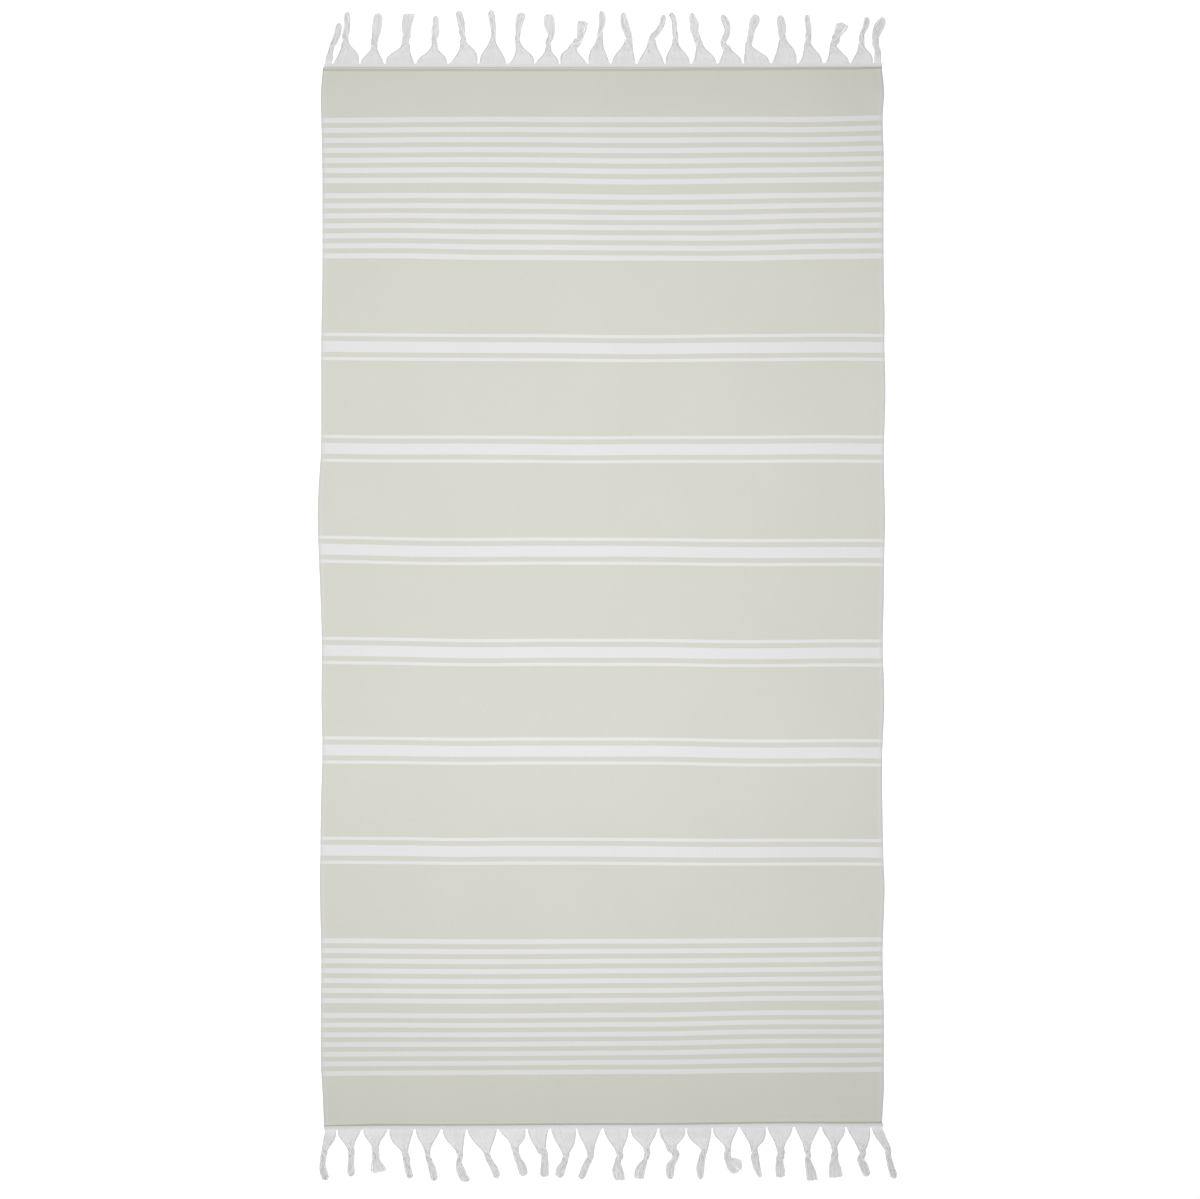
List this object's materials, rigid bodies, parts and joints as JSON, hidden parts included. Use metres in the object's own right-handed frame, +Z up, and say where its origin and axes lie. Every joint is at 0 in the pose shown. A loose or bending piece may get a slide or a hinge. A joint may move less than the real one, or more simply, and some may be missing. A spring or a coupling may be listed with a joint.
{
  "type": "hammam towel",
  "caption": "Flat-woven cotton hammam towel laid out flat, with narrow and broad white weft stripes on pale sage and a gathered, tasselled fringe at each end.",
  "frame": {"origin": "middle of the whole outline, tassels included, on the surface the towel lies on", "axes": "+Y along the towel's length, +X across its width, +Z up out of its face"},
  "size_m": [0.9284, 1.8778, 0.0065],
  "materials": {
    "sage_weave": "matt flat-woven cotton, pale sage with woven white weft stripes",
    "white_yarn": "matt undyed cotton warp yarn, gathered and loosely knotted"
  },
  "bodies": {
    "root": {"towel_cloth": "sage_weave", "fringe_upper_end": "white_yarn", "fringe_lower_end": "white_yarn"}
  },
  "joints": []
}
